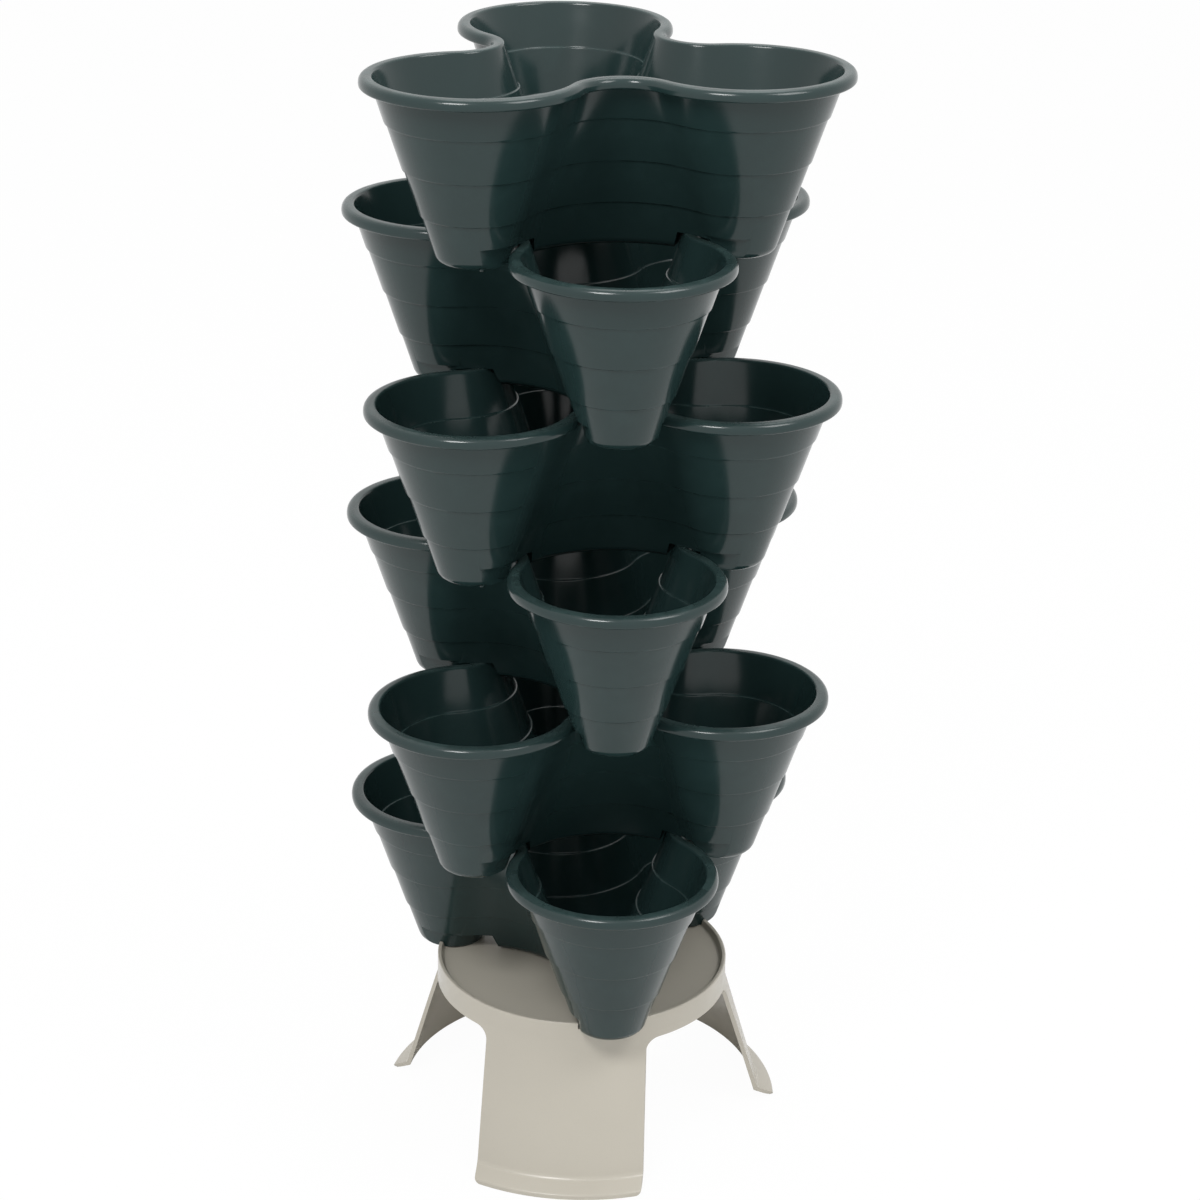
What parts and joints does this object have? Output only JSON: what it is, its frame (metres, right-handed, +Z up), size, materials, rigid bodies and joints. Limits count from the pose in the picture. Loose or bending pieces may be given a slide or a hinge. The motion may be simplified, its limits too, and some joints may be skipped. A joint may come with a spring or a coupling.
{
  "type": "vertical planter tower",
  "caption": "Tall planter tower of stacked trefoil pots, each turned against the one below, on a round saucer stand with flared legs.",
  "frame": {"origin": "on the floor, under the tower's axis", "axes": "+Z up the tower; the bottom pot points one cup along -Y"},
  "size_m": [0.3504, 0.38, 0.854],
  "materials": {
    "pot_plastic": "dark green moulded plastic with a satin gloss",
    "stand_plastic": "stone-coloured moulded plastic, smooth and slightly satin"
  },
  "bodies": {
    "stand": {"three_legged_stand": "stand_plastic"},
    "tier_1": {"pot_tier_1": "pot_plastic"},
    "tier_2": {"pot_tier_2": "pot_plastic"},
    "tier_3": {"pot_tier_3": "pot_plastic"},
    "tier_4": {"pot_tier_4": "pot_plastic"},
    "tier_5": {"pot_tier_5": "pot_plastic"},
    "tier_6": {"pot_tier_6": "pot_plastic"}
  },
  "joints": [
    {"name": "lift_tier_1", "type": "slide", "parent": "stand", "child": "tier_1", "axis": [0, 0, 1], "range_m": [0, 0.15]},
    {"name": "lift_tier_2", "type": "slide", "parent": "tier_1", "child": "tier_2", "axis": [0, 0, 1], "range_m": [0, 0.15]},
    {"name": "lift_tier_3", "type": "slide", "parent": "tier_2", "child": "tier_3", "axis": [0, 0, 1], "range_m": [0, 0.15]},
    {"name": "lift_tier_4", "type": "slide", "parent": "tier_3", "child": "tier_4", "axis": [0, 0, 1], "range_m": [0, 0.15]},
    {"name": "lift_tier_5", "type": "slide", "parent": "tier_4", "child": "tier_5", "axis": [0, 0, 1], "range_m": [0, 0.15]},
    {"name": "lift_tier_6", "type": "slide", "parent": "tier_5", "child": "tier_6", "axis": [0, 0, 1], "range_m": [0, 0.15]}
  ]
}
